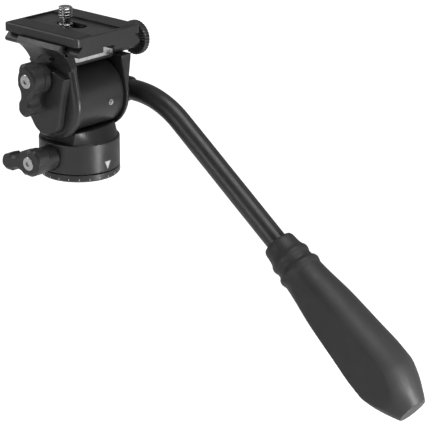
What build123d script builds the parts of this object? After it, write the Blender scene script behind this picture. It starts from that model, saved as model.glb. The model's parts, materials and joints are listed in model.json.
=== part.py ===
from build123d import *
from math import acos, atan2, cos, hypot, radians, sin, sqrt
import os

# Two-way fluid video head. Millimetres, +Z up, +Y towards the lens, +X to the
# operator's right. The origin is the mouth of the tripod thread on the pan axis.

# Fits and cuts
run_fit = 0.07
seat_fit = 0.04
body_gap = 0.3
overrun = 2.0

# Tripod base
base_r = 17.8
base_plate_h = 3.2
base_edge = 0.7
bush_r = 7.0
bush_h = 9.4
tripod_thread_r = 4.7625
tripod_thread_depth = 8.2
base_screw_count = 3
base_screw_in = 2.6
base_screw_r = 1.25
base_screw_head_r = 2.3
base_screw_head_h = 1.3
base_screw_l = 4.9
tick_count = 24
tick_w = 0.35
tick_h = 0.8
tick_depth = 0.35
tick_low_z = 0.85

# Pan spindle and what holds the housing down on it
spindle_r = 9.5
spindle_flange_in = 3.0
spindle_flange_t = 2.0
pan_washer_t = 0.8
pan_bearing_h = 7.6
stud_r = 4.0
retainer_r = 11.0
retainer_t = 1.8
pan_nut_across_r = 6.6
pan_nut_h = 1.7

# Pan housing, neck and tilt drum, one casting
housing_top_z = 16.7
housing_edge = 0.5
neck_in = 0.8
neck_top_z = 22.2
neck_left_half_y = 11.7
neck_bow_x = -4.0
neck_bow_half_y = 13.3
neck_right_half_y = 9.2
tilt_z = 35.0
drum_r = 15.0
drum_left_x = -13.6
drum_right_x = 12.7
damper_depth = 8.4
damper_r = 11.8
rotor_gap = 0.3
damper_wall = 2.2
axle_r = 4.0
drum_screw_r = 1.35
drum_screw_l = 2.4
drum_screw_recess_r = 0.7
drum_screw_x = 5.0
drum_screw_down_deg = 6.5
index_w = 3.4
index_h = 3.6
index_x = -0.3
index_z = 4.7
index_depth = 0.6
index_proud = 0.06

# Tilt bracket
flange_r = 16.8
flange_t = 3.3
flange_round = 2.4
flange_rear_y = -13.9
flange_front_y = 11.4
bolt_head_r = 6.2
bolt_head_h = 2.2
cover_t = 3.8
right_arm_t = 2.7
right_arm_round = 2.2
right_column_t = 5.5
right_column_up = 1.2
beam_gap = 0.8
beam_t = 1.5
beam_rear_y = -9.0
beam_front_y = 12.2
beam_undercut = 1.0
arm_edge = 0.6

# Outer cover of the left arm
cover_low_r = 9.0
cover_low_y = -0.5
cover_low_down = 5.0
cover_rear_y = -13.1
cover_front_y = 11.2
cover_shoulder_down = 3.5
cover_top_down = 0.6
cover_top_half_y = 6.6
arch_r = 9.3
stop_pin_r = 0.9
stop_pin_l = 2.6
stop_pin_y = -2.4

# Plate clamp
plate_half_w = 19.0
plate_h = 8.4
plate_slab_t = 3.7
bed_t = 5.6
plate_rear_y = -19.3
plate_front_y = 25.9
plate_corner_r = 1.6
plate_edge = 0.35
notch_in = 3.6
notch_h = 3.1
tail_in = 0.4
tail_edge = 0.7
lip_fit = 0.15
jaw_rear_y = -11.3
jaw_front_y = 15.2
jaw_out = 3.2
jaw_bevel = 1.8
jaw_lip_under = 0.7
jaw_flare_down = 0.7
jaw_waist_in = 1.35
jaw_waist_up = 2.9
bed_left_x = -10.6
bed_right_x = 12.8
bed_end_r = 2.2
bed_edge_y = 0.3
clamp_screw_y = -3.0
clamp_screw_up = 2.6
clamp_screw_r = 2.0
clamp_screw_tip_x = -7.0
clamp_washer_r = 4.6
clamp_washer_t = 0.7
clamp_hub_r = 4.2
clamp_hub_l = 7.6
clamp_knob_r = 7.75
clamp_knob_t = 4.0
clamp_flutes = 24
clamp_flute_r = 0.55
clamp_dish_r = 4.4
clamp_dish_depth = 1.0
guide_pin_r = 1.2
guide_pin_y = 7.4
guide_pin_tip_x = 4.0

# Camera screw, its slot and the rubber strips
slot_half_w = 3.6
slot_rear_y = -4.5
slot_front_y = 11.1
slot_shelf_up = 3.5
washer_r = 6.0
washer_t = 0.7
screw_y = 7.2
camera_screw_r = 3.175
camera_screw_up = 6.7
camera_screw_edge = 0.6
camera_thread_up = 1.9
camera_relief_r = 2.1
screw_head_r = 5.7
screw_head_h = 1.9
coin_slot_w = 1.2
coin_slot_depth = 1.0
groove_half_w = 3.4
groove_depth = 2.3
rim_w = 1.3
strip_recess = 0.8
strip_t = 0.9
channel_half_w = 8.7

# Lever knobs of the pan lock and the tilt lock
lock_screw_r = 2.5
shoe_r = 2.9
pan_lock_z = 10.2
pan_shoe_l = 3.6
pan_lock_face_x = -30.8
pan_flat_in = 0.9
tilt_lock_y = 0.0
tilt_lock_in = 3.1
tilt_shoe_l = 3.6
tilt_lock_face_x = -31.0
pan_lever_deg = -9.0
tilt_lever_deg = -81.0
pan_lever_reach = 17.8
tilt_lever_reach = 16.4
lever_t = 7.4
lever_hub_r = 5.9
pan_neck_r = 5.4
tilt_neck_r = 6.4
lever_tip_r = 3.6
lever_heel = 7.6
lever_heel_r = 3.6
lever_heel_turn = radians(30)
lever_waist = 2.9
lever_waist_shift = 0.6
lever_scallop_r = 5.0
lever_edge = 1.2
cap_r = 3.05
cap_t = 1.1
cap_proud = 0.25
cap_recess_r = 1.15

# Handle
handle_x = 27.0
handle_z = 32.6
boss_r = 5.6
boss_front_y = 6.0
boss_rear_y = -4.5
socket_depth = 8.0
tube_r = 4.7
tube_wall = 1.0
bend_y = -23.9
bend_r = 44.0
handle_drop_deg = 36.6
grip_start = 85.3
grip_l = 91.9
tube_in_grip = 62.0
set_screw_r = 1.5
grip_flat_start = 9.2
grip_flat_end = 10.2
grip_collar_shares = ((0, 0.530), (0.060, 0.565))
grip_ring_shares = (
    (0.078, 0.600), (0.090, 0.655), (0.104, 0.655), (0.118, 0.615), (0.142, 0.620),
    (0.158, 0.715), (0.176, 0.715), (0.192, 0.675), (0.214, 0.680),
)
grip_body_shares = ((0.400, 0.830), (0.600, 0.925), (0.735, 0.985), (0.800, 0.985), (0.860, 0.900))
grip_max_r = 13.7
grip_end_r = 6.9

# Worked out from the sizes above
spindle_flange_r = base_r - spindle_flange_in
base_screw_circle_r = spindle_flange_r - base_screw_in
neck_r = base_r - neck_in
pan_flat_x = pan_flat_in - base_r
beam_bottom_z = tilt_z + drum_r + beam_gap
beam_top_z = beam_bottom_z + beam_t
tilt_lock_z = tilt_z + drum_r - tilt_lock_in
cover_shoulder_z = beam_bottom_z - cover_shoulder_down
cover_top_z = beam_bottom_z - cover_top_down
plate_bottom_z = beam_top_z + bed_t
plate_top_z = plate_bottom_z + plate_h
clamp_screw_z = beam_top_z + clamp_screw_up
jaw_outer_x = plate_half_w + jaw_out
jaw_waist_z = beam_top_z + jaw_waist_up
jaw_flare_z = beam_top_z - jaw_flare_down
slot_shelf_z = plate_bottom_z + slot_shelf_up
housing_low_z = base_plate_h + body_gap
flange_top_z = base_plate_h + spindle_flange_t
bearing_low_z = flange_top_z + pan_washer_t + run_fit
bearing_top_z = bearing_low_z + pan_bearing_h
spindle_top_z = bearing_top_z + run_fit
cavity_top_z = spindle_top_z + retainer_t + pan_nut_h + body_gap
left_flange_x = drum_left_x - body_gap - flange_t
cover_x = left_flange_x - cover_t
jaw_waist_x = (jaw_outer_x - jaw_lip_under - left_flange_x) / 2 - jaw_waist_in
right_arm_x = drum_right_x + body_gap
right_face_x = right_arm_x + right_arm_t
right_column_x = right_arm_x + right_column_t
slab_bottom_z = plate_top_z - plate_slab_t
notch_x = plate_half_w - notch_in
tail_x = plate_half_w - tail_in
tail_z = slab_bottom_z - notch_h
jaw_top_z = slab_bottom_z - body_gap
jaw_bed_z = plate_bottom_z - body_gap
lip_x = tail_x + body_gap
knob_in_x = jaw_outer_x + clamp_washer_t + seat_fit + clamp_hub_l
handle_slope = radians(handle_drop_deg)

os.makedirs("parts", exist_ok=True)


def save(piece, name):
    piece.label = name
    export_step(piece, f"parts/{name}.step")


def disc(radius, bore, low, high):
    """Upright disc or ring between two heights."""
    with BuildPart() as made:
        with BuildSketch(Plane.XY.offset(low)):
            Circle(radius)
            if bore:
                Circle(bore, mode=Mode.SUBTRACT)
        extrude(amount=high - low)
    return made.part


def rod(radius, left, right, y, z, bore=0):
    """Round rod or tube along X between two places."""
    with BuildPart() as made:
        with BuildSketch(Plane.YZ.offset(left)):
            with Locations((y, z)):
                Circle(radius)
                if bore:
                    Circle(bore, mode=Mode.SUBTRACT)
        extrude(amount=right - left)
    return made.part


def block(left, right, rear, front, low, high):
    """Box between six limits."""
    with BuildPart() as made:
        with BuildSketch(Plane.XY.offset(low)):
            with Locations(((left + right) / 2, (rear + front) / 2)):
                Rectangle(right - left, front - rear)
        extrude(amount=high - low)
    return made.part


def paddle(radius, y, z, rear_y, front_y, shoulder_z, top_z):
    """Outline of an arm: a round lower end whose sides run straight up to two shoulders."""
    tangents = []
    for shoulder_y, turn in ((rear_y, 1), (front_y, -1)):
        across = shoulder_y - y
        up = shoulder_z - z
        angle = atan2(up, across) + turn * acos(radius / hypot(across, up))
        tangents.append((y + radius * cos(angle), z + radius * sin(angle)))
    rear, front = tangents
    with BuildSketch() as made:
        with Locations((y, z)):
            Circle(radius)
        with BuildLine():
            Polyline(
                (y, z), front, (front_y, shoulder_z), (front_y, top_z),
                (rear_y, top_z), (rear_y, shoulder_z), rear, close=True,
            )
        make_face()
    return made.sketch


# Base plate with its scale pockets and screw holes
with BuildPart() as flat_screw:
    with BuildSketch(Plane.XZ):
        with BuildLine():
            Polyline(
                (0, 0), (base_screw_head_r, 0), (base_screw_r, base_screw_head_h),
                (base_screw_r, base_screw_l), (0, base_screw_l), close=True,
            )
        make_face()
    revolve(axis=Axis.Z)

with BuildPart() as tick:
    with Locations((base_r, 0, tick_low_z + tick_h / 2)):
        Box(tick_depth * 2, tick_w, tick_h)
    add(disc(base_r + seat_fit, 0, 0, base_plate_h), mode=Mode.INTERSECT)

with BuildPart() as pan_scale_marks:
    with PolarLocations(0, tick_count):
        add(tick.part)

with BuildPart() as base_screws:
    with PolarLocations(base_screw_circle_r, base_screw_count):
        add(flat_screw.part)

with BuildPart() as base_plate:
    add(disc(base_r, bush_r + seat_fit, 0, base_plate_h))
    rim = base_plate.edges().filter_by(GeomType.CIRCLE).sort_by(SortBy.RADIUS).group_by(SortBy.RADIUS)[-1]
    chamfer(rim.group_by(Axis.Z)[0], base_edge)
    fillet(rim.group_by(Axis.Z)[-1], base_edge / 3)
    add(base_screws.part, mode=Mode.SUBTRACT)
    add(pan_scale_marks.part, mode=Mode.SUBTRACT)

save(base_plate.part, "base_plate")
save(pan_scale_marks.part, "pan_scale_marks")
save(base_screws.part, "base_screws")

# Threaded bush, blind from below
with BuildPart() as tripod_bush:
    add(disc(bush_r, 0, 0, bush_h))
    add(disc(tripod_thread_r, 0, 0, tripod_thread_depth), mode=Mode.SUBTRACT)
save(tripod_bush.part, "tripod_bush")

# Spindle that the housing turns on
with BuildPart() as pan_spindle:
    add(disc(spindle_flange_r, 0, base_plate_h, flange_top_z))
    add(disc(spindle_r, 0, flange_top_z, spindle_top_z))
    add(disc(stud_r, 0, spindle_top_z, spindle_top_z + retainer_t + pan_nut_h))
    add(disc(bush_r + seat_fit, 0, base_plate_h, bush_h + seat_fit), mode=Mode.SUBTRACT)
    add(base_screws.part, mode=Mode.SUBTRACT)
save(pan_spindle.part, "pan_spindle")

pan_washer = disc(
    spindle_flange_r - body_gap, spindle_r + seat_fit, flange_top_z, flange_top_z + pan_washer_t,
)
save(pan_washer, "pan_washer")

pan_retainer = disc(retainer_r, stud_r + seat_fit, spindle_top_z, spindle_top_z + retainer_t)
save(pan_retainer, "pan_retainer")

with BuildPart() as pan_nut:
    with BuildSketch(Plane.XY.offset(spindle_top_z + retainer_t)):
        RegularPolygon(pan_nut_across_r, 6)
        Circle(stud_r + seat_fit, mode=Mode.SUBTRACT)
    extrude(amount=pan_nut_h)
save(pan_nut.part, "pan_nut")

# Small parts that are set into the housing
with BuildPart() as pan_index_mark:
    with BuildSketch(Plane.XZ.offset(base_r - index_depth)):
        with BuildLine():
            Polyline(
                (index_x, index_z), (index_x + index_w / 2, index_z + index_h),
                (index_x - index_w / 2, index_z + index_h), close=True,
            )
        make_face()
    extrude(amount=index_depth + index_proud)
save(pan_index_mark.part, "pan_index_mark")

screw_down = radians(drum_screw_down_deg)
screw_out = Vector(0, -cos(screw_down), -sin(screw_down))
screw_seat = Vector(drum_screw_x, 0, tilt_z) + screw_out * (drum_r + cap_proud - drum_screw_l)


def drum_screw_rod(radius, start, end):
    """Rod along the drum screw's axis, from and to distances from the screw's inner end."""
    with BuildPart() as made:
        with BuildSketch(Plane(origin=screw_seat + screw_out * start, x_dir=(1, 0, 0), z_dir=screw_out)):
            Circle(radius)
        extrude(amount=end - start)
    return made.part


with BuildPart() as drum_screw:
    add(drum_screw_rod(drum_screw_r, 0, drum_screw_l))
    add(drum_screw_rod(drum_screw_recess_r, drum_screw_l / 2, drum_screw_l), mode=Mode.SUBTRACT)
save(drum_screw.part, "drum_screw")

# Housing: round base, neck and hollow tilt drum
def neck_section(z, left_half_y, middle, right_half_y):
    """Section of the neck: two bowed sides between the drum's ends."""
    middle_x, middle_half_y = middle
    with BuildSketch(Plane.XY.offset(z)) as made:
        with BuildLine():
            ThreePointArc(
                (drum_left_x, -left_half_y), (middle_x, -middle_half_y), (drum_right_x, -right_half_y),
            )
            Line((drum_right_x, -right_half_y), (drum_right_x, right_half_y))
            ThreePointArc((drum_right_x, right_half_y), (middle_x, middle_half_y), (drum_left_x, left_half_y))
            Line((drum_left_x, left_half_y), (drum_left_x, -left_half_y))
        make_face()
    return made.sketch


with BuildPart() as neck:
    neck_low = neck_section(
        housing_top_z - housing_edge, sqrt(neck_r**2 - drum_left_x**2), (0, neck_r),
        sqrt(neck_r**2 - drum_right_x**2),
    )
    neck_high = neck_section(
        neck_top_z, neck_left_half_y, (neck_bow_x, neck_bow_half_y), neck_right_half_y,
    )
    loft([neck_low, neck_high], ruled=True)

with BuildPart() as pan_housing:
    add(disc(base_r, 0, housing_low_z, housing_top_z))
    rim = pan_housing.edges().filter_by(GeomType.CIRCLE)
    fillet(rim, housing_edge)
    add(neck.part)
    with BuildSketch(Plane.YZ.offset(drum_left_x)):
        with Locations((0, tilt_z)):
            Circle(drum_r)
    extrude(amount=drum_right_x - drum_left_x)
    add(disc(spindle_flange_r + body_gap, 0, 0, bearing_low_z), mode=Mode.SUBTRACT)
    add(disc(spindle_r + run_fit, 0, 0, bearing_top_z), mode=Mode.SUBTRACT)
    add(disc(retainer_r + body_gap, 0, bearing_top_z, cavity_top_z), mode=Mode.SUBTRACT)
    add(rod(damper_r, drum_left_x - overrun, drum_left_x + damper_depth, 0, tilt_z), mode=Mode.SUBTRACT)
    add(rod(damper_r, drum_right_x - damper_depth, drum_right_x + overrun, 0, tilt_z), mode=Mode.SUBTRACT)
    add(rod(axle_r + run_fit, drum_left_x, drum_right_x, 0, tilt_z), mode=Mode.SUBTRACT)
    add(rod(pan_neck_r + body_gap, -base_r - overrun, pan_flat_x, 0, pan_lock_z), mode=Mode.SUBTRACT)
    add(rod(lock_screw_r + run_fit, -base_r, -spindle_r, 0, pan_lock_z), mode=Mode.SUBTRACT)
    pan_shoe_back_x = -spindle_r - seat_fit - pan_shoe_l
    add(rod(shoe_r + run_fit, pan_shoe_back_x - body_gap, -spindle_r, 0, pan_lock_z), mode=Mode.SUBTRACT)
    add(pan_index_mark.part, mode=Mode.SUBTRACT)
    add(drum_screw_rod(drum_screw_r + seat_fit, 0, drum_screw_l), mode=Mode.SUBTRACT)
save(pan_housing.part, "pan_housing")

# Damper cups stand still in the drum, their rotors turn with the axle
cup_r = damper_r - seat_fit
cup_bore_r = damper_r - damper_wall
rotor_r = cup_bore_r - rotor_gap
rotor_bore_r = axle_r + seat_fit
for side, low_x in (("left", drum_left_x), ("right", drum_right_x - damper_depth)):
    high_x = low_x + damper_depth
    save(rod(cup_r, low_x, high_x, 0, tilt_z, cup_bore_r), f"{side}_damper_cup")
    save(rod(rotor_r, low_x + rotor_gap, high_x - rotor_gap, 0, tilt_z, rotor_bore_r), f"{side}_damper_rotor")


def lever_outline(turn, reach):
    """Outline of a lever knob round its screw, the long lobe turned up from +Y by an angle."""
    up_y = cos(turn)
    up_z = sin(turn)
    tip_at = reach - lever_tip_r
    waist_at = (lever_hub_r + tip_at - lever_tip_r) / 2 + lever_waist_shift
    heel_at = lever_heel - lever_heel_r

    def at(side, up):
        return (up_y * up - up_z * side, up_z * up + up_y * side)

    with BuildSketch() as made:
        Circle(lever_hub_r)
        with Locations(at(0, tip_at)):
            Circle(lever_tip_r)
        with Locations(at(heel_at * sin(lever_heel_turn), -heel_at * cos(lever_heel_turn))):
            Circle(lever_heel_r)
        with BuildLine():
            Polyline(
                at(lever_hub_r, 0), at(lever_tip_r, tip_at), at(-lever_tip_r, tip_at), at(-lever_hub_r, 0),
                close=True,
            )
        make_face()
        scallop_at = lever_waist + lever_scallop_r
        with Locations(at(scallop_at, waist_at), at(-scallop_at, waist_at)):
            Circle(lever_scallop_r, mode=Mode.SUBTRACT)
    return made.sketch


def lever_knob(face_x, seat_x, shank_r, y, z, turn, reach, screw_tip_x):
    """Lever knob, its screw and its cap, all round one axis along X."""
    cap_back_x = face_x - cap_proud + cap_t
    with BuildPart() as knob:
        with BuildSketch(Plane(origin=(face_x, y, z), x_dir=(0, 1, 0), z_dir=(1, 0, 0))):
            add(lever_outline(turn, reach))
        extrude(amount=lever_t)
        rims = knob.edges().filter_by(lambda e: e.bounding_box().size.X < lever_t / 2)
        chamfer(rims, lever_edge)
        add(rod(shank_r, face_x + lever_t - lever_edge, seat_x, y, z))
        add(rod(cap_r + seat_fit, face_x - overrun, cap_back_x, y, z), mode=Mode.SUBTRACT)
        add(rod(lock_screw_r + seat_fit, cap_back_x + cap_t, seat_x, y, z), mode=Mode.SUBTRACT)
    screw = rod(lock_screw_r, cap_back_x + cap_t, screw_tip_x, y, z)
    with BuildPart() as cap:
        add(rod(cap_r, face_x - cap_proud, cap_back_x, y, z))
        chamfer(cap.edges().group_by(Axis.X)[0], cap_proud)
        add(rod(cap_recess_r, face_x - overrun, cap_back_x - cap_t / 2, y, z), mode=Mode.SUBTRACT)
    return knob.part, screw, cap.part


# Pan lock: shoe against the spindle, screw, lever knob and cap
pan_shoe = rod(shoe_r, pan_shoe_back_x, -spindle_r - seat_fit, 0, pan_lock_z)
save(pan_shoe, "pan_brake_shoe")
knob, screw, cap = lever_knob(
    pan_lock_face_x, pan_flat_x - body_gap, pan_neck_r, 0, pan_lock_z, radians(pan_lever_deg),
    pan_lever_reach, pan_shoe_back_x,
)
save(knob, "pan_lock_knob")
save(screw, "pan_lock_screw")
save(cap, "pan_lock_cap")

# Tilt lock: the same knob on the left arm, its shoe against the drum's end
tilt_shoe_back_x = drum_left_x - seat_fit - tilt_shoe_l
tilt_shoe = rod(shoe_r, tilt_shoe_back_x, drum_left_x - seat_fit, tilt_lock_y, tilt_lock_z)
save(tilt_shoe, "tilt_brake_shoe")
knob, screw, cap = lever_knob(
    tilt_lock_face_x, cover_x - body_gap, tilt_neck_r, tilt_lock_y, tilt_lock_z, radians(tilt_lever_deg),
    tilt_lever_reach, tilt_shoe_back_x,
)
save(knob, "tilt_lock_knob")
save(screw, "tilt_lock_screw")
save(cap, "tilt_lock_cap")

# Axle, fixed in both arms, and the bolt head that holds its left end
axle_end_x = right_face_x - arm_edge * 2
axle = rod(axle_r, left_flange_x, axle_end_x, 0, tilt_z)
save(axle, "tilt_axle")
axle_bolt = rod(bolt_head_r, left_flange_x - bolt_head_h, left_flange_x, 0, tilt_z)
save(axle_bolt, "axle_bolt")


def jaw_profile(side):
    """Jaw seen from behind, from its bevelled outer edge over the lip to the bed, side -1 is left."""
    lip_tip_x = notch_x + lip_fit * 3
    slope = (tail_x - notch_x) / notch_h
    lip_low_z = jaw_top_z - (lip_x - lip_tip_x) / slope
    return [
        (side * jaw_outer_x, jaw_top_z - jaw_bevel), (side * (jaw_outer_x - jaw_bevel), jaw_top_z),
        (side * lip_tip_x, jaw_top_z), (side * lip_x, lip_low_z), (side * lip_x, jaw_bed_z),
    ]


# Tilt bracket: both arms, beam, fixed left jaw and handle boss
def arm(low_x, thickness, outer_end, rounding):
    """Arm beside the drum with a rounded outer rim, its outer end is 0 on the left and -1 on the right."""
    with BuildPart() as made:
        with BuildSketch(Plane.YZ.offset(low_x)):
            add(paddle(flange_r, 0, tilt_z, flange_rear_y, flange_front_y, beam_bottom_z, beam_top_z))
        extrude(amount=thickness)
        chamfer(made.faces().sort_by(Axis.X)[-1 - outer_end].edges(), arm_edge / 2)
        fillet(made.faces().sort_by(Axis.X)[outer_end].edges().sort_by(Axis.Z)[:-1], rounding)
    return made.part


with BuildPart() as right_column:
    column_in_x = right_arm_x + arm_edge / 2
    with BuildSketch(Plane.YZ.offset(column_in_x)):
        add(paddle(flange_r, 0, tilt_z, flange_rear_y, flange_front_y, beam_bottom_z, beam_top_z))
    extrude(amount=right_column_x - column_in_x)
    with BuildSketch(Plane.XZ.offset(-flange_r)):
        with BuildLine():
            Polyline(
                (column_in_x, tilt_z + right_column_up), (right_column_x, beam_bottom_z),
                (right_column_x, beam_top_z), (column_in_x, beam_top_z), close=True,
            )
        make_face()
    extrude(amount=2 * flange_r, mode=Mode.INTERSECT)

with BuildPart() as fixed_jaw:
    column_x = left_flange_x + flange_t
    with BuildSketch(Plane.XZ.offset(-jaw_front_y)):
        with BuildLine():
            Polyline(
                (column_x, beam_bottom_z), (column_x, jaw_bed_z), *reversed(jaw_profile(-1)),
                (-jaw_outer_x + jaw_lip_under, jaw_top_z - jaw_bevel - jaw_lip_under),
            )
            ThreePointArc(
                (-jaw_outer_x + jaw_lip_under, jaw_top_z - jaw_bevel - jaw_lip_under),
                (-jaw_waist_x, jaw_waist_z), (left_flange_x, jaw_flare_z),
            )
            Polyline((left_flange_x, jaw_flare_z), (left_flange_x, beam_bottom_z), (column_x, beam_bottom_z))
        make_face()
    extrude(amount=jaw_front_y - flange_rear_y)
    with BuildSketch(Plane.YZ.offset(-jaw_outer_x)):
        with BuildLine():
            Polyline(
                (flange_rear_y, beam_bottom_z), (flange_front_y, beam_bottom_z), (flange_front_y, beam_top_z),
                (jaw_front_y, jaw_top_z - jaw_bevel - jaw_lip_under), (jaw_front_y, jaw_top_z),
                (jaw_rear_y, jaw_top_z), (jaw_rear_y, jaw_top_z - jaw_bevel - jaw_lip_under),
                (flange_rear_y, beam_top_z), close=True,
            )
        make_face()
    extrude(amount=jaw_outer_x, mode=Mode.INTERSECT)
    add(rod(arch_r, -jaw_outer_x - overrun, left_flange_x, tilt_lock_y, tilt_lock_z), mode=Mode.SUBTRACT)

with BuildPart() as handle_boss:
    with BuildSketch(Plane.XZ.offset(-boss_front_y)):
        with Locations((handle_x, handle_z)):
            Circle(boss_r)
        with Locations(((right_face_x + handle_x) / 2, handle_z)):
            Rectangle(handle_x - right_face_x, 2 * boss_r)
    extrude(amount=boss_front_y - boss_rear_y)
    fillet(handle_boss.edges().group_by(Axis.Y)[-1], boss_r / 3)

with BuildPart() as beam:
    add(block(left_flange_x, right_column_x, beam_rear_y, beam_front_y, beam_bottom_z, beam_top_z))
    chamfer(beam.faces().sort_by(Axis.Z)[0].edges().filter_by(Axis.X), beam_undercut)

with BuildPart() as tilt_bracket:
    add(arm(left_flange_x, flange_t, 0, flange_round))
    add(arm(right_arm_x, right_arm_t, -1, right_arm_round))
    add(right_column.part)
    add(beam.part)
    add(fixed_jaw.part)
    add(handle_boss.part)
    add(rod(axle_r + seat_fit, left_flange_x, axle_end_x, 0, tilt_z), mode=Mode.SUBTRACT)
    add(rod(shoe_r + run_fit, left_flange_x, drum_left_x, tilt_lock_y, tilt_lock_z), mode=Mode.SUBTRACT)
    add(
        rod(clamp_screw_r + run_fit, clamp_screw_tip_x - body_gap, right_column_x + overrun,
            clamp_screw_y, clamp_screw_z),
        mode=Mode.SUBTRACT,
    )
    with BuildSketch(Plane.XZ.offset(-boss_rear_y)):
        with Locations((handle_x, handle_z)):
            Circle(tube_r + seat_fit)
    extrude(amount=-socket_depth, mode=Mode.SUBTRACT)
    set_screw_y = boss_rear_y + socket_depth / 2
    with BuildSketch(Plane.XY.offset(handle_z - boss_r)):
        with Locations((handle_x, set_screw_y)):
            Circle(set_screw_r + seat_fit)
    extrude(amount=boss_r - tube_r, mode=Mode.SUBTRACT)
save(tilt_bracket.part, "tilt_bracket")

# Outer cover of the left arm, over the axle bolt, with the tilt lock's thread
with BuildPart() as left_cover:
    with BuildSketch(Plane.YZ.offset(cover_x)):
        add(paddle(
            cover_low_r, cover_low_y, tilt_z - cover_low_down, cover_rear_y, cover_front_y, cover_shoulder_z,
            cover_shoulder_z + arm_edge,
        ))
        with BuildLine():
            Polyline(
                (cover_rear_y, cover_shoulder_z + arm_edge), (cover_front_y, cover_shoulder_z + arm_edge),
                (cover_top_half_y, cover_top_z), (-cover_top_half_y, cover_top_z), close=True,
            )
        make_face()
    extrude(amount=cover_t)
    chamfer(left_cover.faces().sort_by(Axis.X)[0].edges(), arm_edge)
    add(
        rod(bolt_head_r + seat_fit, left_flange_x - bolt_head_h - seat_fit, left_flange_x, 0, tilt_z),
        mode=Mode.SUBTRACT,
    )
    add(rod(lock_screw_r + run_fit, cover_x, left_flange_x, tilt_lock_y, tilt_lock_z), mode=Mode.SUBTRACT)
    add(
        rod(shoe_r + run_fit, tilt_shoe_back_x - body_gap, left_flange_x, tilt_lock_y, tilt_lock_z),
        mode=Mode.SUBTRACT,
    )
save(left_cover.part, "left_cover")

stop_pin_z = tilt_lock_z + arch_r - stop_pin_r * 2
stop_pin_x = left_flange_x - stop_pin_l
save(rod(stop_pin_r, stop_pin_x, left_flange_x, stop_pin_y, stop_pin_z), "tilt_stop_pin")

# Steel bed that the plate lies on
with BuildPart() as clamp_bed:
    bed_front_y = beam_front_y - bed_edge_y
    bed_rear_y = beam_rear_y + bed_edge_y
    add(block(bed_left_x, bed_right_x, bed_rear_y, bed_front_y, beam_top_z, plate_bottom_z - run_fit))
    fillet(clamp_bed.edges().filter_by(Axis.Y).group_by(Axis.X)[0], bed_end_r)
    add(
        rod(clamp_screw_r + run_fit, clamp_screw_tip_x - body_gap, bed_right_x, clamp_screw_y, clamp_screw_z),
        mode=Mode.SUBTRACT,
    )
    add(
        rod(guide_pin_r + run_fit, guide_pin_tip_x - body_gap, bed_right_x, guide_pin_y, clamp_screw_z),
        mode=Mode.SUBTRACT,
    )
save(clamp_bed.part, "clamp_bed")

# Moving right jaw with its guide pin and washer
with BuildPart() as moving_jaw:
    jaw_foot_z = beam_top_z + run_fit
    with BuildSketch(Plane.XZ.offset(-jaw_front_y)):
        with BuildLine():
            Polyline(
                *jaw_profile(1), (bed_right_x + body_gap, jaw_bed_z), (bed_right_x + body_gap, jaw_foot_z),
                (jaw_outer_x, jaw_foot_z), close=True,
            )
        make_face()
    extrude(amount=jaw_front_y - beam_rear_y)
    add(
        rod(clamp_screw_r + run_fit, bed_right_x, jaw_outer_x, clamp_screw_y, clamp_screw_z),
        mode=Mode.SUBTRACT,
    )
    add(
        rod(guide_pin_r + seat_fit, bed_right_x, right_column_x, guide_pin_y, clamp_screw_z),
        mode=Mode.SUBTRACT,
    )
save(moving_jaw.part, "moving_jaw")
save(rod(guide_pin_r, guide_pin_tip_x, right_column_x, guide_pin_y, clamp_screw_z), "jaw_guide_pin")
clamp_washer = rod(
    clamp_washer_r, jaw_outer_x, jaw_outer_x + clamp_washer_t, clamp_screw_y, clamp_screw_z,
    clamp_screw_r + run_fit,
)
save(clamp_washer, "clamp_washer")

# Fluted clamp knob and its screw
with BuildPart() as clamp_knob:
    knob_out_x = knob_in_x + clamp_knob_t
    with BuildSketch(Plane.YZ.offset(knob_in_x)):
        with Locations((clamp_screw_y, clamp_screw_z)):
            Circle(clamp_knob_r)
            with PolarLocations(clamp_knob_r, clamp_flutes):
                Circle(clamp_flute_r, mode=Mode.SUBTRACT)
    extrude(amount=clamp_knob_t)
    add(rod(clamp_hub_r, knob_in_x - clamp_hub_l, knob_in_x, clamp_screw_y, clamp_screw_z))
    add(
        rod(clamp_dish_r, knob_out_x - clamp_dish_depth, knob_out_x + overrun, clamp_screw_y, clamp_screw_z),
        mode=Mode.SUBTRACT,
    )
    screw_end_x = knob_out_x - clamp_dish_depth * 2
    add(
        rod(clamp_screw_r + seat_fit, knob_in_x - clamp_hub_l, screw_end_x, clamp_screw_y, clamp_screw_z),
        mode=Mode.SUBTRACT,
    )
save(clamp_knob.part, "clamp_knob")
save(rod(clamp_screw_r, clamp_screw_tip_x, screw_end_x, clamp_screw_y, clamp_screw_z), "clamp_screw")

# Quick release plate: dovetail, raised rim, slot and underside groove
slot_l = slot_front_y - slot_rear_y
slot_y = (slot_front_y + slot_rear_y) / 2
plate_y = (plate_front_y + plate_rear_y) / 2
plate_l = plate_front_y - plate_rear_y


def slot_cut(half_w, low, high):
    """Round-ended cut along Y that leaves the same travel at any width."""
    with BuildPart() as made:
        with BuildSketch(Plane.XY.offset(low)):
            with Locations((0, slot_y)):
                SlotCenterToCenter(slot_l - 2 * slot_half_w, 2 * half_w, rotation=90)
        extrude(amount=high - low)
    return made.part


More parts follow.
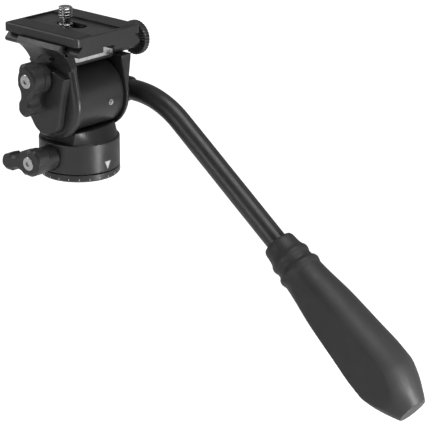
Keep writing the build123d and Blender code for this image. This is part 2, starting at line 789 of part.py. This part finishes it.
with BuildPart() as release_plate:
    with BuildSketch(Plane.XZ.offset(-plate_front_y)):
        with BuildLine():
            half = [
                (plate_half_w, plate_top_z), (plate_half_w, slab_bottom_z), (notch_x, slab_bottom_z),
                (tail_x, tail_z), (tail_x, plate_bottom_z + tail_edge), (tail_x - tail_edge, plate_bottom_z),
            ]
            Polyline(*half, *[(-x, z) for x, z in reversed(half)], close=True)
        make_face()
    extrude(amount=plate_l)
    corners = release_plate.edges().filter_by(Axis.Z)
    outer = corners.filter_by(lambda e: abs(abs(e.center().X) - plate_half_w) < plate_edge)
    fillet(outer, plate_corner_r)
    chamfer(release_plate.faces().sort_by(Axis.Z)[-1].edges(), plate_edge)
    add(
        block(-plate_half_w + rim_w, plate_half_w - rim_w, plate_rear_y + rim_w, plate_front_y - rim_w,
              plate_top_z - strip_recess, plate_top_z + overrun),
        mode=Mode.SUBTRACT,
    )
    add(slot_cut(slot_half_w, plate_bottom_z - overrun, plate_top_z + overrun), mode=Mode.SUBTRACT)
    add(slot_cut(washer_r + body_gap, plate_bottom_z - overrun, slot_shelf_z), mode=Mode.SUBTRACT)
    add(
        block(-groove_half_w, groove_half_w, plate_rear_y - overrun, plate_front_y + overrun,
              plate_bottom_z - overrun, plate_bottom_z + groove_depth),
        mode=Mode.SUBTRACT,
    )
save(release_plate.part, "release_plate")

with BuildPart() as rubber_strips:
    strip_low_z = plate_top_z - strip_recess
    strip_in = rim_w + body_gap
    strip_out_x = plate_half_w - strip_in
    strip_rear_y = plate_rear_y + strip_in
    strip_front_y = plate_front_y - strip_in
    for left_x, right_x in ((-strip_out_x, -channel_half_w), (channel_half_w, strip_out_x)):
        add(block(left_x, right_x, strip_rear_y, strip_front_y, strip_low_z, strip_low_z + strip_t))
save(rubber_strips.part, "rubber_strips")

# Camera screw and the washer it hangs on
washer_top_z = slot_shelf_z - run_fit
with BuildPart() as screw_washer:
    with BuildSketch(Plane.XY.offset(washer_top_z - washer_t)):
        with Locations((0, screw_y)):
            Circle(washer_r)
            Circle(camera_screw_r + run_fit, mode=Mode.SUBTRACT)
    extrude(amount=washer_t)
save(screw_washer.part, "screw_washer")

with BuildPart() as camera_screw:
    head_top_z = washer_top_z - washer_t - run_fit
    with BuildSketch(Plane.XY.offset(head_top_z - screw_head_h)):
        with Locations((0, screw_y)):
            Circle(screw_head_r)
    extrude(amount=screw_head_h)
    with BuildSketch(Plane.XY.offset(head_top_z)):
        with Locations((0, screw_y)):
            Circle(camera_screw_r)
    extrude(amount=plate_top_z + camera_screw_up - head_top_z)
    chamfer(camera_screw.edges().group_by(Axis.Z)[-1], camera_screw_edge)
    with BuildSketch(Plane.XY.offset(plate_top_z - strip_recess)):
        with Locations((0, screw_y)):
            Circle(camera_screw_r)
            Circle(camera_relief_r, mode=Mode.SUBTRACT)
    extrude(amount=camera_thread_up + strip_recess, mode=Mode.SUBTRACT)
    add(
        block(-screw_head_r, screw_head_r, screw_y - coin_slot_w / 2, screw_y + coin_slot_w / 2,
              head_top_z - screw_head_h - overrun, head_top_z - screw_head_h + coin_slot_depth),
        mode=Mode.SUBTRACT,
    )
save(camera_screw.part, "camera_screw")

# Handle: bent tube, set screw and moulded grip
along = Vector(0, -cos(handle_slope), -sin(handle_slope))
bend = Vector(handle_x, bend_y, handle_z)
tube_start = Vector(handle_x, boss_rear_y + socket_depth, handle_z)
tube_end = bend + along * (grip_start + tube_in_grip)

with BuildPart() as handle_tube:
    with BuildLine() as route:
        FilletPolyline(tube_start, bend, tube_end, radius=bend_r)
    with BuildSketch(Plane(origin=tube_start, x_dir=(1, 0, 0), z_dir=(0, -1, 0))):
        Circle(tube_r)
        Circle(tube_r - tube_wall, mode=Mode.SUBTRACT)
    sweep(path=route.wires()[0])
save(handle_tube.part, "handle_tube")

with BuildPart() as handle_set_screw:
    with BuildSketch(Plane.XY.offset(handle_z - boss_r)):
        with Locations((handle_x, set_screw_y)):
            Circle(set_screw_r)
    extrude(amount=boss_r - tube_r - seat_fit)
save(handle_set_screw.part, "handle_set_screw")

grip_plane = Plane(origin=bend + along * grip_start, x_dir=(1, 0, 0), z_dir=along)
with BuildPart() as handle_grip:
    shares = grip_collar_shares + grip_ring_shares + grip_body_shares
    grip_flat_from = grip_ring_shares[-1][0] * grip_l
    side_line = [(r * grip_max_r, a * grip_l) for a, r in shares]
    with BuildSketch(Plane.XZ):
        with BuildLine():
            Polyline((tube_r + seat_fit, 0), *side_line, (grip_end_r, grip_l), (0, grip_l),
                     (0, tube_in_grip + seat_fit), (tube_r + seat_fit, tube_in_grip + seat_fit), close=True)
        make_face()
    revolve(axis=Axis.Z)
    with BuildSketch(Plane.XZ.offset(-grip_max_r)):
        with BuildLine():
            flat_side = [
                (grip_max_r, 0), (grip_max_r, grip_flat_from), (grip_flat_start, grip_flat_from),
                (grip_flat_end, grip_l),
            ]
            Polyline(*flat_side, *[(-x, z) for x, z in reversed(flat_side)], close=True)
        make_face()
    extrude(amount=2 * grip_max_r, mode=Mode.INTERSECT)
save(handle_grip.part.moved(grip_plane.location), "handle_grip")
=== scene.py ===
import json
from math import cos, hypot, pi, radians, sin

import bpy
from mathutils import Matrix, Vector

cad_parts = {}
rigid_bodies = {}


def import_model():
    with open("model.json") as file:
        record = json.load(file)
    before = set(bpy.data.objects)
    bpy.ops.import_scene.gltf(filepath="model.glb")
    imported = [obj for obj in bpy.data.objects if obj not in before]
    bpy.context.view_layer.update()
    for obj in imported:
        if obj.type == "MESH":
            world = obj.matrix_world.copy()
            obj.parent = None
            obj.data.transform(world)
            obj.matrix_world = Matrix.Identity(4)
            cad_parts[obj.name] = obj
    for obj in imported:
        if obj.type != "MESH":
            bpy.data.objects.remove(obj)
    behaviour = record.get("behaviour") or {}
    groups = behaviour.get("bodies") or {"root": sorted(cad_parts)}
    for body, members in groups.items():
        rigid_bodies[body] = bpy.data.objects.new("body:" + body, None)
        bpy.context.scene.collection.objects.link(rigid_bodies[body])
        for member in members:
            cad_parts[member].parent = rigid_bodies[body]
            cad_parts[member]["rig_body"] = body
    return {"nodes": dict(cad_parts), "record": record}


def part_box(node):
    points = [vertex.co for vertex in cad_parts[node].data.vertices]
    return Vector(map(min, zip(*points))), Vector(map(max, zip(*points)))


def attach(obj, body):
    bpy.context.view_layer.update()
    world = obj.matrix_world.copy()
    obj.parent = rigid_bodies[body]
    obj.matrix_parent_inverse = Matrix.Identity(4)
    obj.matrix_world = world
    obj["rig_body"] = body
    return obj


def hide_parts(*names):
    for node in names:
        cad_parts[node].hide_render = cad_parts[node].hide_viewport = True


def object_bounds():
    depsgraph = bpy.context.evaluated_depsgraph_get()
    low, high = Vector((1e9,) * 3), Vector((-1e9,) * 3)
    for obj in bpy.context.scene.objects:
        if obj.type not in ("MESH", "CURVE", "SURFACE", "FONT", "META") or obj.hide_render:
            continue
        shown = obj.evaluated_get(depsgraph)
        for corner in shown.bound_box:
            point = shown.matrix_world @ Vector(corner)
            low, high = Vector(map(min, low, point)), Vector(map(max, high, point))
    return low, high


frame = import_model()
cad_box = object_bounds()

# Units and the photograph's frame
MM = 0.001
PHOTO_PX = 427

# Camera, fitted to the photograph
CAMERA_AT = Vector((-575.4, -599.3, 277.7)) * MM
CAMERA_AZIMUTH = radians(-47.917)
CAMERA_ELEVATION = radians(19.766)
CAMERA_ROLL = radians(0.302)
CAMERA_FOCAL_PX = 1976.3
SENSOR_WIDTH = 36.0


def make_camera():
    """Camera at the photograph's place, looking down at the head from behind and its left."""
    a, e, r = CAMERA_AZIMUTH, CAMERA_ELEVATION, CAMERA_ROLL
    ahead = Vector((-sin(a) * cos(e), cos(a) * cos(e), -sin(e)))
    right = Vector((cos(a), sin(a), 0))
    up = right.cross(ahead)
    side_axis = right * cos(r) + up * sin(r)
    up_axis = up * cos(r) - right * sin(r)
    turn = Matrix((side_axis, up_axis, -ahead)).transposed().to_4x4()
    data = bpy.data.cameras.new("camera")
    data.sensor_width = SENSOR_WIDTH
    data.lens = CAMERA_FOCAL_PX / PHOTO_PX * SENSOR_WIDTH
    data.clip_start = 10 * MM
    camera = bpy.data.objects.new("camera", data)
    camera.matrix_world = Matrix.Translation(CAMERA_AT) @ turn
    bpy.context.scene.collection.objects.link(camera)
    bpy.context.scene.camera = camera


make_camera()


# Node materials
BEVEL_SAMPLES = 4
FLAT_MATCH = 0.995
EDGE_MATCH = 0.90
CLOUD_SIZE = 9 * MM
CLOUD_SPREAD = 0.15
EDGE_WEAR_AND_HIGHLIGHT_SIZE = 2.5 * MM
GLOSS_SIZE = 4 * MM
GLOSS_SPREAD = 0.05
TARNISH_SIZE = 3 * MM
POLISH_SIZE = 1.2 * MM
METAL_EDGE = 0.15 * MM


class Nodes:
    """Short way to build a material's node tree round one Principled shader."""

    def __init__(self, name, **sockets):
        self.material = bpy.data.materials.new(name)
        self.material.use_nodes = True
        self.tree = self.material.node_tree
        self.shader = self.tree.nodes["Principled BSDF"]
        for socket, value in sockets.items():
            self.shader.inputs[socket.replace("_", " ")].default_value = value
        coordinates = self.tree.nodes.new("ShaderNodeTexCoord")
        self.place = coordinates.outputs["Object"]

    def node(self, kind, inputs=None, **settings):
        made = self.tree.nodes.new("ShaderNode" + kind)
        for name, value in settings.items():
            setattr(made, name, value)
        for socket, value in (inputs or {}).items():
            if isinstance(value, bpy.types.NodeSocket):
                self.tree.links.new(value, made.inputs[socket])
            else:
                made.inputs[socket].default_value = value
        return made

    def noise(self, size, detail=3.0, stretch=(1, 1, 1)):
        """Noise whose features are about size metres wide, with a number of finer layers."""
        moved = self.node("Mapping", {"Vector": self.place, "Scale": stretch})
        made = self.node("TexNoise", {"Vector": moved.outputs[0], "Scale": 1 / size, "Detail": detail})
        return made.outputs["Fac"]

    def ramp(self, value, low, high, to_low, to_high):
        made = self.node("MapRange", {"Value": value, "From Min": low, "From Max": high,
                                      "To Min": to_low, "To Max": to_high})
        return made.outputs["Result"]

    def mix(self, share, first, second):
        made = self.node("Mix", {"Factor": share, 6: first, 7: second}, data_type="RGBA")
        return made.outputs[2]

    def edge_share(self, width):
        """1 on sharp edges and 0 on flat faces, from how far a rounded normal leaves the true one."""
        rounded = self.node("Bevel", {"Radius": width}, samples=BEVEL_SAMPLES)
        true = self.node("NewGeometry")
        match = self.node("VectorMath", {0: rounded.outputs[0], 1: true.outputs["Normal"]},
                          operation="DOT_PRODUCT")
        return self.ramp(match.outputs["Value"], FLAT_MATCH, EDGE_MATCH, 0.0, 1.0), rounded.outputs[0]

    def bump(self, height, strength, distance, normal=None):
        inputs = {"Height": height, "Strength": strength, "Distance": distance}
        if normal is not None:
            inputs["Normal"] = normal
        return self.node("Bump", inputs).outputs["Normal"]

    def into(self, socket, value):
        self.tree.links.new(value, self.shader.inputs[socket])


def grey(level):
    return (level, level, level, 1)


def coated(name, level, roughness, grain, grain_depth, edge_wear_and_highlight, edge=0.35 * MM, specular=0.4):
    """Painted or moulded surface: fine grain, uneven gloss and lighter edges, part wear and part painted
    highlight.
    """
    made = Nodes(name, Specular_IOR_Level=specular)
    cloud = made.noise(CLOUD_SIZE, 4)
    fine = made.noise(grain, 2)
    share, rounded = made.edge_share(edge)
    # Lighter colour in patches on sharp edges: partly wear, partly a painted edge highlight.
    patches = made.ramp(made.noise(EDGE_WEAR_AND_HIGHLIGHT_SIZE, 5), 0.35, 0.7, 0.1, 1.0)
    rubbed_and_highlit_edge = made.node("Math", {0: share, 1: patches}, operation="MULTIPLY").outputs[0]
    body = made.mix(cloud, grey(level * (1 - CLOUD_SPREAD)), grey(level * (1 + CLOUD_SPREAD)))
    made.into("Base Color", made.mix(rubbed_and_highlit_edge, body, grey(edge_wear_and_highlight)))
    gloss = made.noise(GLOSS_SIZE, 3)
    made.into("Roughness", made.ramp(gloss, 0.3, 0.7, roughness - GLOSS_SPREAD, roughness + GLOSS_SPREAD))
    made.into("Normal", made.bump(fine, 0.35, grain_depth, rounded))
    return made.material


def metal(name, colour, roughness, brushed=(1, 1, 1), grain=0.25 * MM, depth=0.004 * MM, tarnish=0.75):
    """Bare or plated metal with fine tool marks and a slightly uneven tone."""
    made = Nodes(name, Metallic=1.0)
    dull = tuple(c * tarnish for c in colour[:3]) + (1,)
    patches = made.ramp(made.noise(TARNISH_SIZE, 5), 0.4, 0.75, 0.0, 0.8)
    made.into("Base Color", made.mix(patches, colour, dull))
    polish = made.noise(POLISH_SIZE, 4)
    made.into("Roughness", made.ramp(polish, 0.3, 0.7, roughness * 0.75, roughness * 1.3))
    rounded = made.node("Bevel", {"Radius": METAL_EDGE}, samples=BEVEL_SAMPLES).outputs[0]
    made.into("Normal", made.bump(made.noise(grain, 2, brushed), 0.5, depth, rounded))
    return made.material


materials = {
    # In each coated row the sixth value is the lighter edge colour, part wear and part painted highlight.
    "black_paint": coated("satin_black_paint", 0.034, 0.36, 0.16 * MM, 0.010 * MM, 0.10, specular=0.5),
    "black_plastic": coated("moulded_black_plastic", 0.034, 0.40, 0.22 * MM, 0.012 * MM, 0.08, specular=0.5),
    "black_rubber": coated("black_rubber", 0.036, 0.50, 0.30 * MM, 0.016 * MM, 0.055, specular=0.4),
    "dark_steel": coated("blackened_steel", 0.07, 0.35, 0.2 * MM, 0.006 * MM, 0.2),
    "white_paint": coated("white_marking_paint", 0.75, 0.5, 0.2 * MM, 0.01 * MM, 0.6),
    "nylon": coated("natural_nylon", 0.7, 0.5, 0.3 * MM, 0.01 * MM, 0.75),
    "chrome": metal("bright_plating", grey(0.62), 0.30, (1, 1, 1)),
    "polished_steel": metal("polished_steel", grey(0.86), 0.25, (0.12, 1, 1)),
    "steel": metal("machined_steel", grey(0.50), 0.30, (1, 1, 4)),
    "brass": metal("machined_brass", (0.66, 0.48, 0.22, 1), 0.3, (1, 1, 4)),
}
# Pieces with a brighter finish than their material has elsewhere
FINISHES = {"drum_screw": "polished_steel"}
for row in frame["record"]["subparts"]:
    mesh = frame["nodes"][row["node"]].data
    mesh.materials.clear()
    mesh.materials.append(materials[FINISHES.get(row["node"], row["material_slot"])])


# Pieces that are finer than their solids

SMOOTH_DEG = 35


def add_piece(name, vertices, faces, node, slot, smooth_deg=SMOOTH_DEG):
    """A mesh piece that stands for a node and rides with the node's body."""
    mesh = bpy.data.meshes.new(name)
    mesh.from_pydata([tuple(v) for v in vertices], [], faces)
    mesh.validate()
    mesh.materials.append(materials[slot])
    piece = bpy.data.objects.new(name, mesh)
    bpy.context.scene.collection.objects.link(piece)
    for polygon in mesh.polygons:
        polygon.use_smooth = True
    mesh.set_sharp_from_angle(angle=radians(smooth_deg))
    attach(piece, frame["nodes"][node]["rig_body"])
    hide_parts(node)
    return piece


def tube_faces(rings, sides, cap_start=True, cap_end=True):
    """Faces of a closed skin through rings of points that share one number of sides."""
    faces = []
    for i in range(rings - 1):
        for j in range(sides):
            k = (j + 1) % sides
            faces.append((i * sides + j, i * sides + k, (i + 1) * sides + k, (i + 1) * sides + j))
    if cap_start:
        faces.append(tuple(reversed(range(sides))))
    if cap_end:
        last = (rings - 1) * sides
        faces.append(tuple(last + j for j in range(sides)))
    return faces


def smooth_line(points, steps):
    """Points along a smooth curve through (place, radius) pairs, with no overshoot between them."""
    slopes = []
    for i in range(len(points)):
        before = points[max(i - 1, 0)]
        after = points[min(i + 1, len(points) - 1)]
        here = points[i]
        left = (here[1] - before[1]) / (here[0] - before[0]) if here is not before else None
        right = (after[1] - here[1]) / (after[0] - here[0]) if here is not after else None
        if left is None or right is None:
            slopes.append(right if left is None else left)
        elif left * right <= 0:
            slopes.append(0.0)
        else:
            slopes.append(2 * left * right / (left + right))
    line = []
    for (x0, y0), (x1, y1), m0, m1 in zip(points, points[1:], slopes, slopes[1:]):
        h = x1 - x0
        for s in range(steps):
            t = s / steps
            y = ((1 + 2 * t) * (1 - t) ** 2 * y0 + t * (1 - t) ** 2 * h * m0
                 + t * t * (3 - 2 * t) * y1 + t * t * (t - 1) * h * m1)
            line.append((x0 + h * t, y))
    line.append(points[-1])
    return line


# Grip, along the tube's slope
GRIP_SLOPE = radians(36.6)
GRIP_AHEAD = Vector((0, -cos(GRIP_SLOPE), -sin(GRIP_SLOPE)))
GRIP_UP = Vector((0, -sin(GRIP_SLOPE), cos(GRIP_SLOPE)))
GRIP_START = Vector((27.0, -23.9, 32.6)) * MM + GRIP_AHEAD * 85.3 * MM
GRIP_LENGTH = 91.9 * MM
GRIP_RADIUS = 13.7 * MM
GRIP_FLATS = (9.2 * MM, 10.2 * MM)
GRIP_FLAT_FROM = 0.214
GRIP_FLAT_BLEND = 0.10
# Share of the length, then share of the radius
GRIP_SHARES = [
    (0.000, 0.490), (0.012, 0.528), (0.055, 0.560), (0.074, 0.596), (0.086, 0.640), (0.097, 0.655),
    (0.110, 0.640), (0.122, 0.612), (0.140, 0.622), (0.154, 0.690), (0.167, 0.715), (0.180, 0.700),
    (0.194, 0.672), (0.230, 0.690), (0.400, 0.830), (0.600, 0.925), (0.735, 0.985), (0.800, 0.985),
    (0.860, 0.900), (0.985, 0.540), (1.000, 0.480),
]
GRIP_SIDES = 192
GRIP_STEPS = 5
GRIP_CREASE = 0.12 * MM


def soft_limit(value, limit, round_off):
    """Value, held under limit with a small rounded corner."""
    over = value - (limit - round_off)
    if over <= 0:
        return value
    return limit - round_off + round_off * (1 - 1 / (1 + over / round_off))


def make_grip():
    line = smooth_line(GRIP_SHARES, GRIP_STEPS)
    vertices = []
    for along, share in line:
        flat_share = min(max((along - GRIP_FLAT_FROM) / GRIP_FLAT_BLEND + 0.5, 0), 1)
        flat = GRIP_FLATS[0] + (GRIP_FLATS[1] - GRIP_FLATS[0]) * along
        for j in range(GRIP_SIDES):
            turn = 2 * pi * j / GRIP_SIDES
            radius = share * GRIP_RADIUS
            across = radius * cos(turn)
            held = soft_limit(abs(across), flat, GRIP_CREASE) * (1 if across > 0 else -1)
            across += (held - across) * flat_share
            at = GRIP_START + GRIP_AHEAD * along * GRIP_LENGTH
            vertices.append(at + Vector((1, 0, 0)) * across + GRIP_UP * radius * sin(turn))
    add_piece("grip_skin", vertices, tube_faces(len(line), GRIP_SIDES), "handle_grip", "black_rubber")


make_grip()

# Camera screw with its thread
SCREW_AT = Vector((0, 7.2, 0)) * MM
SCREW_RADIUS = 3.175 * MM
SCREW_HEAD_T = 1.9 * MM
SCREW_HEAD_EDGE = 0.3 * MM
SCREW_RELIEF_RADIUS = 2.1 * MM
SCREW_RELIEF = (65.5 * MM, 68.2 * MM)
SCREW_PITCH = 1.27 * MM
SCREW_THREAD_DEPTH = 0.62 * MM
SCREW_TIP_EDGE = 0.5 * MM
SCREW_TIP_IN = 0.9 * MM
SCREW_RELIEF_EDGE = 0.2 * MM
SCREW_GROOVE_SHARE = 0.40
SCREW_SIDES = 48
SCREW_RINGS_PER_PITCH = 12


def make_camera_screw():
    low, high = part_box("camera_screw")
    head_radius = (high.x - low.x) / 2
    relief_low, relief_high = SCREW_RELIEF
    head_top = low.z + SCREW_HEAD_T
    rings = [
        (low.z, head_radius - SCREW_HEAD_EDGE, 0), (low.z + SCREW_HEAD_EDGE, head_radius, 0),
        (head_top - SCREW_HEAD_EDGE, head_radius, 0), (head_top, head_radius - SCREW_HEAD_EDGE, 0),
        (head_top, SCREW_RADIUS, 0), (relief_low - SCREW_RELIEF_EDGE, SCREW_RADIUS, 0),
        (relief_low, SCREW_RADIUS - SCREW_RELIEF_EDGE, 0), (relief_low, SCREW_RELIEF_RADIUS, 0),
        (relief_high, SCREW_RELIEF_RADIUS, 0), (relief_high, SCREW_RADIUS - SCREW_TIP_EDGE, 0),
    ]
    steps = int((high.z - relief_high) / SCREW_PITCH * SCREW_RINGS_PER_PITCH)
    for i in range(steps + 1):
        height = relief_high + (high.z - relief_high) * i / steps
        from_end = min(high.z - height, height - relief_high)
        radius = min(SCREW_RADIUS, SCREW_RADIUS - SCREW_TIP_EDGE + from_end)
        rings.append((height, radius, 1))
    rings.append((high.z, SCREW_RADIUS - SCREW_TIP_IN, 0))
    vertices = []
    for height, radius, cut in rings:
        for j in range(SCREW_SIDES):
            turn = j / SCREW_SIDES
            phase = (height / SCREW_PITCH - turn) % 1
            groove = max(0.0, 1 - abs(phase - 0.5) / SCREW_GROOVE_SHARE) * SCREW_THREAD_DEPTH * cut
            held = min(radius, SCREW_RADIUS - groove) if cut else radius
            vertices.append(SCREW_AT + Vector((held * cos(2 * pi * turn), held * sin(2 * pi * turn), height)))
    add_piece("camera_screw_thread", vertices, tube_faces(len(rings), SCREW_SIDES), "camera_screw", "steel")


make_camera_screw()

# Clamp knob: fine knurl on the rim and radial teeth on the inner face
KNOB_TEETH = 32
KNOB_SIDES = KNOB_TEETH * 8
KNOB_THICKNESS = 4.0 * MM
KNOB_TOOTH_DEPTH = 0.55 * MM
KNOB_KNURL_DEPTH = 0.32 * MM
KNOB_SMOOTH_DEG = 50
# Millimetres from the hub's, rim's or outer face, then radius, share of the teeth and of the knurl
KNOB_HUB_LINE = [(0, 2.1, 0, 0), (0, 4.0, 0, 0), (0.2, 4.2, 0, 0)]
KNOB_RIM_LINE = [
    (-0.05, 4.2, 0, 0), (0, 4.5, 0.1, 0), (0.02, 5.0, 0.6, 0), (0.05, 5.8, 1.0, 0), (0.15, 6.9, 1.0, 0.2),
    (0.4, 7.45, 0.6, 0.7), (0.8, 7.72, 0, 1.0),
]
KNOB_OUTER_LINE = [
    (-0.9, 7.74, 0, 1.0), (-0.45, 7.5, 0, 0.7), (-0.12, 7.0, 0, 0.1), (0, 6.3, 0, 0), (0, 4.55, 0, 0),
    (-0.1, 4.4, 0, 0), (-0.9, 4.35, 0, 0), (-1.0, 4.1, 0, 0), (-1.0, 2.1, 0, 0),
]


def make_clamp_knob():
    low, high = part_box("clamp_knob")
    centre = (low + high) / 2
    outer = (high.z - low.z) / 2
    starts = ((low.x, KNOB_HUB_LINE), (high.x - KNOB_THICKNESS, KNOB_RIM_LINE), (high.x, KNOB_OUTER_LINE))
    line = [(start + x * MM, *rest) for start, rows in starts for x, *rest in rows]
    vertices = []
    for x, radius, tooth, knurl in line:
        for j in range(KNOB_SIDES):
            turn = j / KNOB_SIDES
            wave = 0.5 - 0.5 * cos(2 * pi * turn * KNOB_TEETH)
            sink = KNOB_TOOTH_DEPTH * tooth * wave
            held = min(radius * MM, outer) - KNOB_KNURL_DEPTH * knurl * wave
            vertices.append(Vector((x + sink, centre.y + held * cos(2 * pi * turn),
                                    centre.z + held * sin(2 * pi * turn))))
    faces = tube_faces(len(line), KNOB_SIDES, False, False)
    add_piece("clamp_knob_knurled", vertices, faces, "clamp_knob", "black_plastic", KNOB_SMOOTH_DEG)


make_clamp_knob()

# Floor, background and light. The floor lies under the handle's lowest reach about the tilt axis.
# Its glow grows between the two radii, since less light falls on the far floor.
TILT_Z = 46.9 * MM
FLOOR_GAP = 1 * MM
FLOOR_Z = TILT_Z - hypot(cad_box[0][1], TILT_Z - cad_box[0][2]) - FLOOR_GAP
FLOOR_GLOW_NEAR = 0.75
FLOOR_GLOW_FAR = 1.0
FLOOR_GLOW_RADII = (0.35, 0.9)
FLOOR_HALF_SIZE = 6.0
FLOOR_GREY = 0.85
FLOOR_GLOSSY_GLOW = 0.20
WORLD_BRIGHT = 0.22
WORLD_DIM = 0.02
WORLD_BAND = (0.2, 0.7)
WORLD_FACES = Vector((0.69, 0.72, 0.05)).normalized()


def add_floor():
    mesh = bpy.data.meshes.new("floor")
    size = FLOOR_HALF_SIZE
    corners = [(-size, -size, FLOOR_Z), (size, -size, FLOOR_Z), (size, size, FLOOR_Z), (-size, size, FLOOR_Z)]
    mesh.from_pydata(corners, [], [(0, 1, 2, 3)])
    floor = bpy.data.objects.new("floor", mesh)
    bpy.context.scene.collection.objects.link(floor)
    made = Nodes("pale_floor", Roughness=0.9, Specular_IOR_Level=0.0)
    made.shader.inputs["Base Color"].default_value = grey(FLOOR_GREY)
    made.shader.inputs["Emission Color"].default_value = grey(1.0)
    path = made.node("LightPath")
    away = made.node("VectorMath", {0: made.place}, operation="LENGTH").outputs["Value"]
    seen = made.ramp(away, *FLOOR_GLOW_RADII, FLOOR_GLOW_NEAR, FLOOR_GLOW_FAR)
    camera_glow = made.ramp(path.outputs["Is Camera Ray"], 0.0, 1.0, 0.0, seen)
    glossy_glow = made.ramp(path.outputs["Is Glossy Ray"], 0.0, 1.0, 0.0, FLOOR_GLOSSY_GLOW)
    glow = made.node("Math", {0: camera_glow, 1: glossy_glow}, operation="MAXIMUM").outputs[0]
    made.into("Emission Strength", glow)
    mesh.materials.append(made.material)


def add_world():
    """Dim studio dome, brighter low on the far side; white as a backdrop."""
    world = bpy.data.worlds.new("studio")
    bpy.context.scene.world = world
    world.use_nodes = True
    tree = world.node_tree
    ground = tree.nodes["Background"]
    ground.inputs["Color"].default_value = grey(1.0)
    place = tree.nodes.new("ShaderNodeTexCoord")
    facing = tree.nodes.new("ShaderNodeVectorMath")
    facing.operation = "DOT_PRODUCT"
    facing.inputs[1].default_value = WORLD_FACES
    tree.links.new(place.outputs["Generated"], facing.inputs[0])
    dome = tree.nodes.new("ShaderNodeMapRange")
    dome.interpolation_type = "SMOOTHSTEP"
    ends = (*WORLD_BAND, WORLD_DIM, WORLD_BRIGHT)
    for socket, value in zip(("From Min", "From Max", "To Min", "To Max"), ends):
        dome.inputs[socket].default_value = value
    tree.links.new(facing.outputs["Value"], dome.inputs["Value"])
    path = tree.nodes.new("ShaderNodeLightPath")
    level = tree.nodes.new("ShaderNodeMix")
    level.data_type = "FLOAT"
    level.inputs[3].default_value = 1.0
    tree.links.new(path.outputs["Is Camera Ray"], level.inputs["Factor"])
    tree.links.new(dome.outputs["Result"], level.inputs[2])
    tree.links.new(level.outputs[0], ground.inputs["Strength"])


# Each light's name, place, width, height and power, and the point it faces
FACED_BY_ALL = Vector((0, -20, 20)) * MM
FACED_BY_STRIP = Vector((0, 0, 10)) * MM
LIGHTS = [
    ("top", (0.05, -0.25, 1.0), 0.6, 0.6, 5.0, FACED_BY_ALL),
    ("left", (-1.0, 0.05, 0.15), 0.5, 0.4, 2.3, FACED_BY_ALL),
    ("far_top", (-0.31, 0.69, 0.66), 0.4, 0.4, 1.5, FACED_BY_ALL),
    ("rear_right", (0.75, -0.8, 0.15), 0.5, 0.4, 0.4, FACED_BY_ALL),
    ("low_strip", (0.05, -0.34, -0.035), 0.035, 0.10, 0.6, FACED_BY_STRIP),
]


def add_light(name, place, width, height, power, faced):
    data = bpy.data.lights.new(name, "AREA")
    data.shape = "RECTANGLE"
    data.size = width
    data.size_y = height
    data.energy = power
    light = bpy.data.objects.new(name, data)
    light.location = Vector(place)
    light.rotation_euler = (faced - light.location).to_track_quat("-Z", "Y").to_euler()
    bpy.context.scene.collection.objects.link(light)


add_floor()
add_world()
for row in LIGHTS:
    add_light(*row)

view = bpy.context.scene.view_settings
view.view_transform = "Standard"
